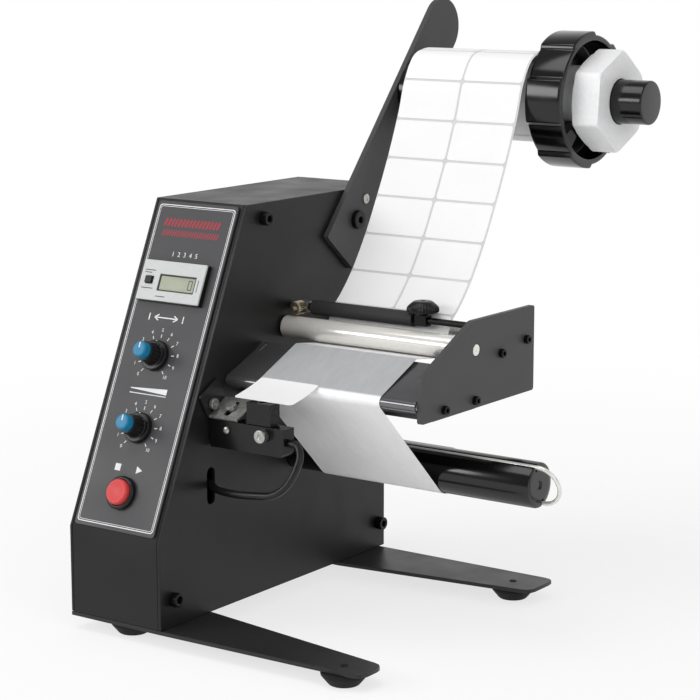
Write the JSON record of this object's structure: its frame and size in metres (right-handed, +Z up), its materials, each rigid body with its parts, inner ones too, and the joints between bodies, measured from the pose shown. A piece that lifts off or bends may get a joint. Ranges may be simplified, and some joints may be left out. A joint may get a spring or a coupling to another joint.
{
  "type": "label dispenser",
  "caption": "Desk label dispenser: sloped control case, supply roll on a slanted arm, rollers and peel plate, driven rewind shaft, label sensor on an adjustable bracket.",
  "frame": {"origin": "middle of the object's footprint on the table", "axes": "+X to the right, out of the wall that carries the rollers; +Y to the back; +Z up"},
  "size_m": [0.2592, 0.3112, 0.3702],
  "materials": {
    "case_shell": "satin powder coat",
    "left_side_plate": "satin powder coat",
    "right_side_plate": "satin powder coat",
    "base_plate": "satin powder coat",
    "control_faceplate": "matt printed plate",
    "front_foot_bar": "satin powder coat",
    "rear_foot_bar": "satin powder coat",
    "case_foot_1": "matt",
    "case_foot_2": "matt",
    "bar_foot_1": "matt",
    "bar_foot_2": "matt",
    "roll_arm": "satin powder coat",
    "arm_bolt": "black oxide",
    "arm_pin": "turned",
    "spindle_shaft": "black anodised",
    "spindle_nut": "zinc plated",
    "roll_core": "plain",
    "label_roll": "wound edge",
    "hub_ring": "gloss",
    "hub_nut": "moulded nylon",
    "outboard_plate": "satin powder coat",
    "cross_tray": "satin powder coat",
    "rear_guide_rod": "polished",
    "middle_tie_rod": "black oxide",
    "peel_plate": "smooth satin",
    "guide_roller": "polished",
    "press_shaft": "black oxide",
    "press_roller": "smooth",
    "left_guide_block": "nickel plated",
    "right_guide_block": "black oxide",
    "knurled_screw": "nickel plated, worn",
    "thumb_knob": "satin",
    "label_web": "smooth",
    "peeled_label": "smooth",
    "rewind_shaft": "black anodised",
    "rewind_clip": "bright wire",
    "gearmotor": "zinc plated",
    "sensor_bracket": "bright",
    "bracket_screw": "zinc plated",
    "sensor_holder": "satin powder coat",
    "sensor_clamp_bolt": "zinc plated",
    "sensor_head": "satin",
    "sensor_thumb_screw": "knurled",
    "sensor_cable": "smooth",
    "counter_housing": "light grey",
    "counter_reset": "grey",
    "length_dial": "black body, blue cap",
    "speed_dial": "black body, blue cap",
    "control_board": "board",
    "button_bezel": "satin",
    "button_cap": "red",
    "power_inlet": "black",
    "power_rocker": "black",
    "case_screw_1": "black oxide",
    "case_screw_2": "black oxide",
    "case_screw_3": "black oxide",
    "bay_screw_1": "black oxide",
    "bay_screw_2": "black oxide",
    "bay_screw_3": "black oxide",
    "bay_screw_4": "black oxide"
  },
  "bodies": {
    "machine": {"case_shell": "case_shell", "left_side_plate": "left_side_plate", "right_side_plate": "right_side_plate", "base_plate": "base_plate", "control_faceplate": "control_faceplate", "front_foot_bar": "front_foot_bar", "rear_foot_bar": "rear_foot_bar", "case_foot_1": "case_foot_1", "case_foot_2": "case_foot_2", "bar_foot_1": "bar_foot_1", "bar_foot_2": "bar_foot_2", "roll_arm": "roll_arm", "arm_bolt": "arm_bolt", "arm_pin": "arm_pin", "outboard_plate": "outboard_plate", "cross_tray": "cross_tray", "rear_guide_rod": "rear_guide_rod", "middle_tie_rod": "middle_tie_rod", "peel_plate": "peel_plate", "press_shaft": "press_shaft", "label_web": "label_web", "peeled_label": "peeled_label", "gearmotor": "gearmotor", "sensor_bracket": "sensor_bracket", "bracket_screw": "bracket_screw", "sensor_cable": "sensor_cable", "counter_housing": "counter_housing", "control_board": "control_board", "button_bezel": "button_bezel", "power_inlet": "power_inlet", "case_screw_1": "case_screw_1", "case_screw_2": "case_screw_2", "case_screw_3": "case_screw_3", "bay_screw_1": "bay_screw_1", "bay_screw_2": "bay_screw_2", "bay_screw_3": "bay_screw_3", "bay_screw_4": "bay_screw_4"},
    "supply": {"spindle_shaft": "spindle_shaft", "spindle_nut": "spindle_nut", "roll_core": "roll_core", "label_roll": "label_roll"},
    "side_hub": {"hub_ring": "hub_ring"},
    "hub_nut": {"hub_nut": "hub_nut"},
    "guide_roller": {"guide_roller": "guide_roller"},
    "press_roller": {"press_roller": "press_roller"},
    "rewind": {"rewind_shaft": "rewind_shaft"},
    "clip": {"rewind_clip": "rewind_clip"},
    "length_dial": {"length_dial": "length_dial"},
    "speed_dial": {"speed_dial": "speed_dial"},
    "button": {"button_cap": "button_cap"},
    "reset_key": {"counter_reset": "counter_reset"},
    "rocker": {"power_rocker": "power_rocker"},
    "left_guide": {"left_guide_block": "left_guide_block"},
    "left_screw": {"knurled_screw": "knurled_screw"},
    "right_guide": {"right_guide_block": "right_guide_block"},
    "right_knob": {"thumb_knob": "thumb_knob"},
    "sensor": {"sensor_holder": "sensor_holder", "sensor_head": "sensor_head", "sensor_clamp_bolt": "sensor_clamp_bolt"},
    "sensor_screw": {"sensor_thumb_screw": "sensor_thumb_screw"}
  },
  "joints": [
    {"name": "supply_spin", "type": "hinge", "parent": "machine", "child": "supply", "pos_m": [0.00045, 0.10254, 0.31081], "axis": [1, 0, 0], "continuous": true},
    {"name": "hub_slide", "type": "slide", "parent": "supply", "child": "side_hub", "axis": [1, 0, 0], "range_m": [0, 0.018]},
    {"name": "hub_nut_turn", "type": "hinge", "parent": "side_hub", "child": "hub_nut", "pos_m": [0.08645, 0.10254, 0.31081], "axis": [1, 0, 0], "continuous": true},
    {"name": "guide_roller_spin", "type": "hinge", "parent": "machine", "child": "guide_roller", "pos_m": [0.00845, -0.03319, 0.1747], "axis": [1, 0, 0], "continuous": true},
    {"name": "press_roller_spin", "type": "hinge", "parent": "machine", "child": "press_roller", "pos_m": [-0.00755, -0.02359, 0.1866], "axis": [1, 0, 0], "continuous": true},
    {"name": "rewind_spin", "type": "hinge", "parent": "machine", "child": "rewind", "pos_m": [0.03045, -0.02009, 0.0966], "axis": [1, 0, 0], "continuous": true},
    {"name": "clip_slide", "type": "slide", "parent": "rewind", "child": "clip", "axis": [1, 0, 0], "range_m": [0, 0.115]},
    {"name": "length_dial_turn", "type": "hinge", "parent": "machine", "child": "length_dial", "pos_m": [-0.09655, -0.11175, 0.16403], "axis": [0, -0.912, 0.4102], "range_deg": [-140, 140]},
    {"name": "speed_dial_turn", "type": "hinge", "parent": "machine", "child": "speed_dial", "pos_m": [-0.09505, -0.13, 0.12344], "axis": [0, -0.912, 0.4102], "range_deg": [-140, 140]},
    {"name": "button_press", "type": "slide", "parent": "machine", "child": "button", "axis": [0, 0.912, -0.4102], "range_m": [0, 0.003], "stiffness_N_per_m": 400, "springref_m": -0.002},
    {"name": "reset_press", "type": "slide", "parent": "machine", "child": "reset_key", "axis": [0, 0.912, -0.4102], "range_m": [0, 0.001], "stiffness_N_per_m": 300, "springref_m": -0.001},
    {"name": "rocker_tilt", "type": "hinge", "parent": "machine", "child": "rocker", "pos_m": [-0.09455, 0.07761, 0.084], "axis": [1, 0, 0], "range_deg": [-16, 0]},
    {"name": "left_guide_slide", "type": "slide", "parent": "machine", "child": "left_guide", "axis": [1, 0, 0], "range_m": [-0.0038, 0.002]},
    {"name": "left_screw_turn", "type": "hinge", "parent": "left_guide", "child": "left_screw", "pos_m": [-0.05105, -0.03059, 0.1866], "axis": [0, 1, 0], "range_deg": [-180, 180]},
    {"name": "right_guide_slide", "type": "slide", "parent": "machine", "child": "right_guide", "axis": [1, 0, 0], "range_m": [-0.0013, 0.028]},
    {"name": "right_knob_turn", "type": "hinge", "parent": "right_guide", "child": "right_knob", "pos_m": [0.03575, -0.02359, 0.1946], "axis": [0, 0, 1], "range_deg": [-180, 180]},
    {"name": "sensor_slide", "type": "slide", "parent": "machine", "child": "sensor", "axis": [0, 0.866, 0.5], "range_m": [-0.004, 0.004]},
    {"name": "sensor_screw_turn", "type": "hinge", "parent": "sensor", "child": "sensor_screw", "pos_m": [-0.01785, -0.11109, 0.1252], "axis": [0, 1, 0], "range_deg": [-180, 180]}
  ]
}
